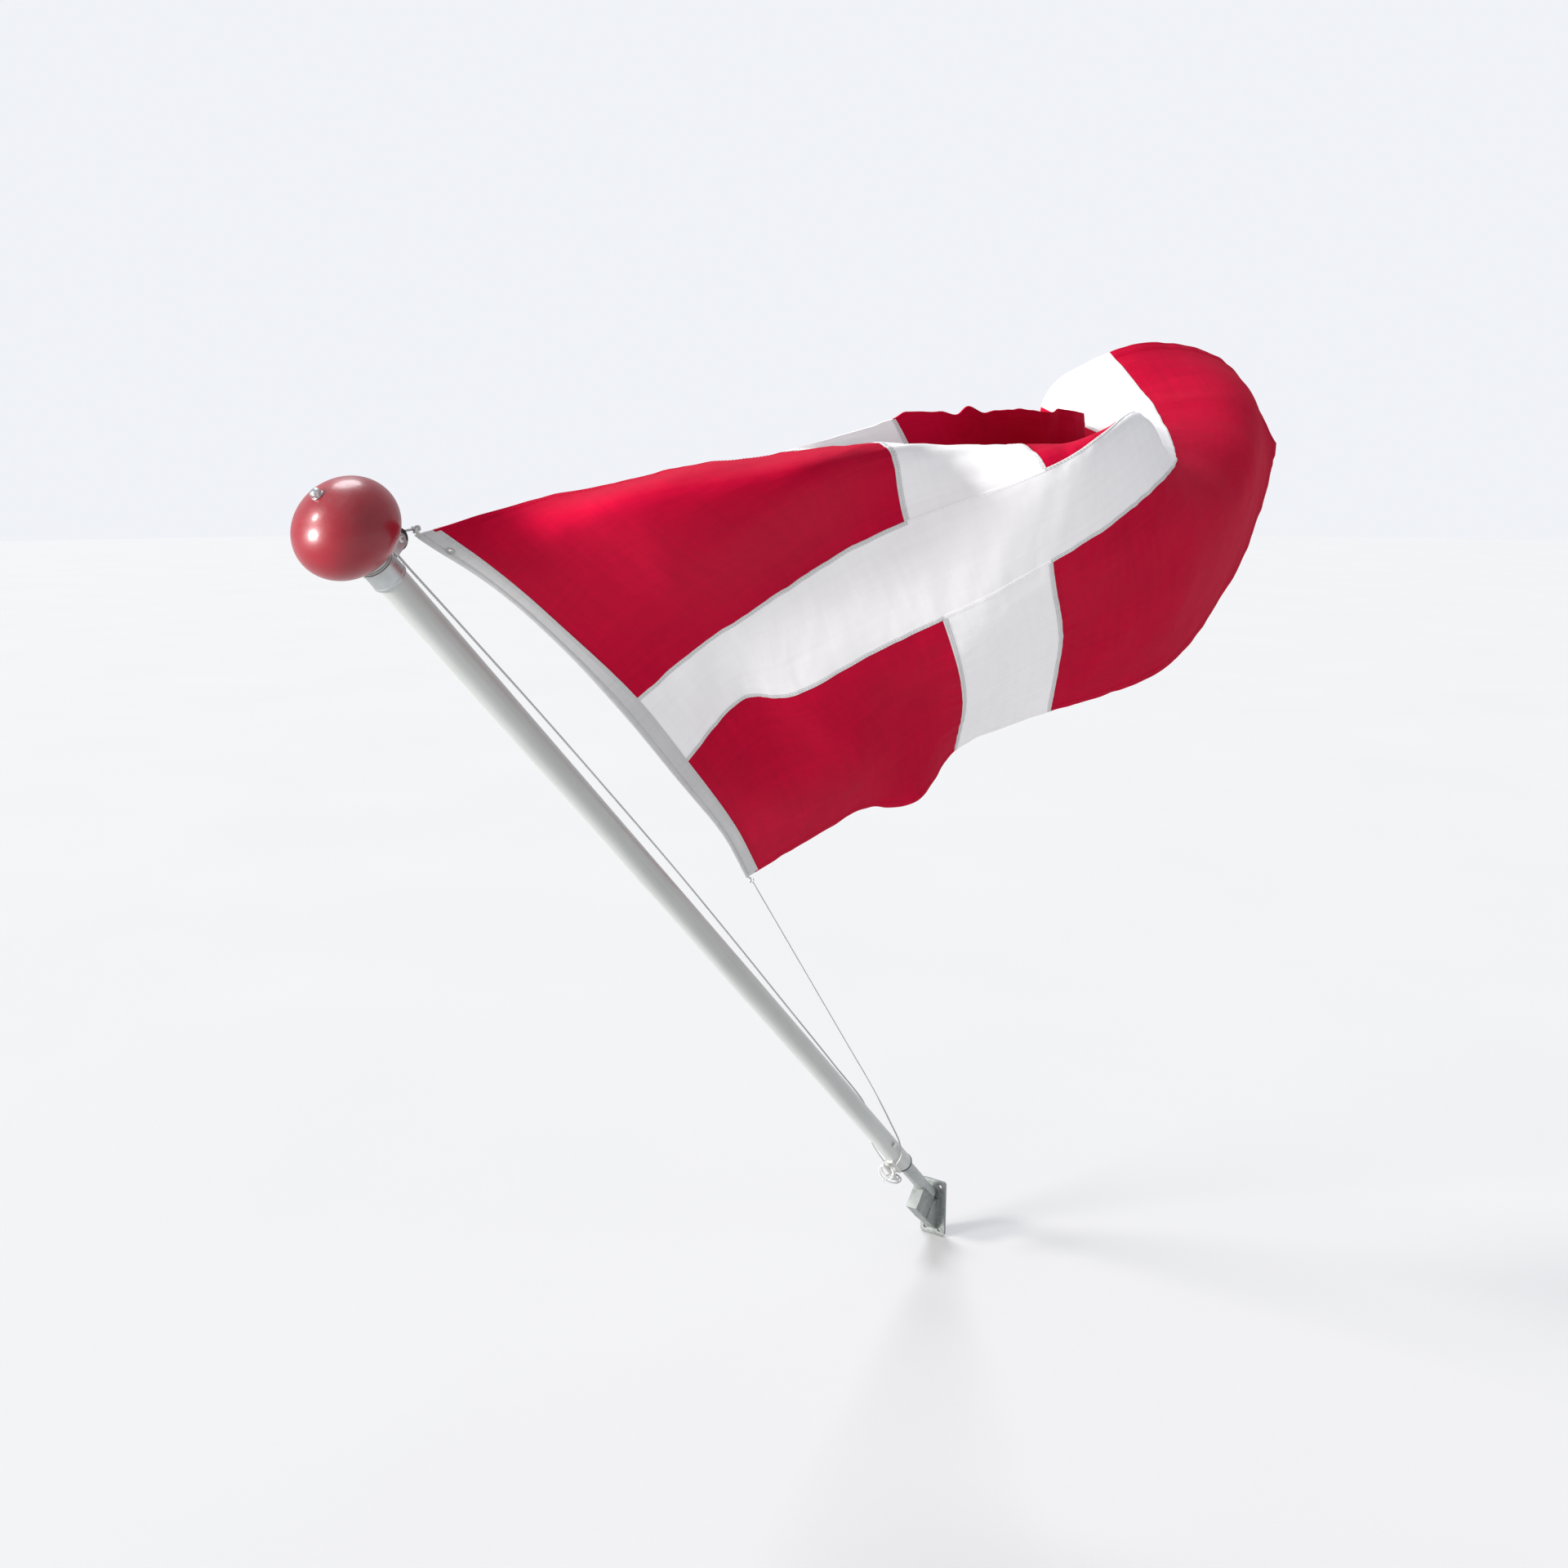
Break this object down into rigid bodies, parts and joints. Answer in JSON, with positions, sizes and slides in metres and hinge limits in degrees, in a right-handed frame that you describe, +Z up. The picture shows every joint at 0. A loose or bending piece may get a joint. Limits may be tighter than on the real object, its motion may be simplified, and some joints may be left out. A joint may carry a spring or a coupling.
{
  "type": "bracket-mounted flagpole",
  "caption": "Slanting flagpole on a wall bracket, with a round red ball finial, a rope halyard on a cleat and a red flag with a white cross folding in the wind.",
  "frame": {"origin": "middle of the wall plate's back face", "axes": "+Z up, -Y out from the wall in the plane of the slanting pole, +X to the side that the flag swings towards"},
  "size_m": [0.906, 1.9865, 2.1877],
  "materials": {
    "bracket": "grey galvanised casting, matt",
    "spigot": "galvanised tube, satin",
    "bush": "dark grey moulded bush",
    "pole": "pale grey gelcoat, satin gloss",
    "truck": "cast, satin",
    "sheave": "black nylon",
    "ball": "deep red, glossy",
    "bright_steel": "stainless, bright",
    "cleat": "white moulded",
    "halyard": "braided polyester rope, off-white",
    "header": "woven tape, off-white",
    "eyelet": "dull nickel plated ring",
    "red_cloth": "woven bunting, matt red",
    "white_cloth": "woven bunting, matt white"
  },
  "bodies": {
    "pole": {"wall_plate": "bracket", "support_gusset": "bracket", "pole_lug": "bracket", "spigot": "spigot", "foot_bush": "bush", "pole_tube": "pole", "locking_bolt": "bright_steel", "locking_nut": "bright_steel", "truck_cap": "bracket", "truck_collar": "truck", "sheave_cheeks": "truck", "sheave_pin": "bright_steel", "ball_finial": "ball", "ball_stem": "bright_steel", "ball_washer": "bright_steel", "ball_nut": "bright_steel", "cleat_base": "cleat", "cleat_horns": "cleat", "cleat_screws": "bright_steel", "halyard_hoist_line": "halyard", "halyard_foot_line": "halyard", "halyard_turns": "halyard", "head_knot": "halyard", "foot_knot": "halyard", "header_rope_ends": "halyard", "header_sleeve": "header", "header_eyelet": "eyelet", "red_upper_hoist": "red_cloth", "red_lower_hoist": "red_cloth", "red_upper_fly": "red_cloth", "red_lower_fly": "red_cloth", "white_band_hoist": "white_cloth", "white_band_fly": "white_cloth", "white_bar_upper": "white_cloth", "white_bar_lower": "white_cloth"},
    "sheave_wheel": {"sheave": "sheave"}
  },
  "joints": [
    {"name": "sheave_turn", "type": "hinge", "parent": "pole", "child": "sheave_wheel", "pos_m": [0, -1.67755, 1.76826], "axis": [1, 0, 0], "continuous": true}
  ]
}
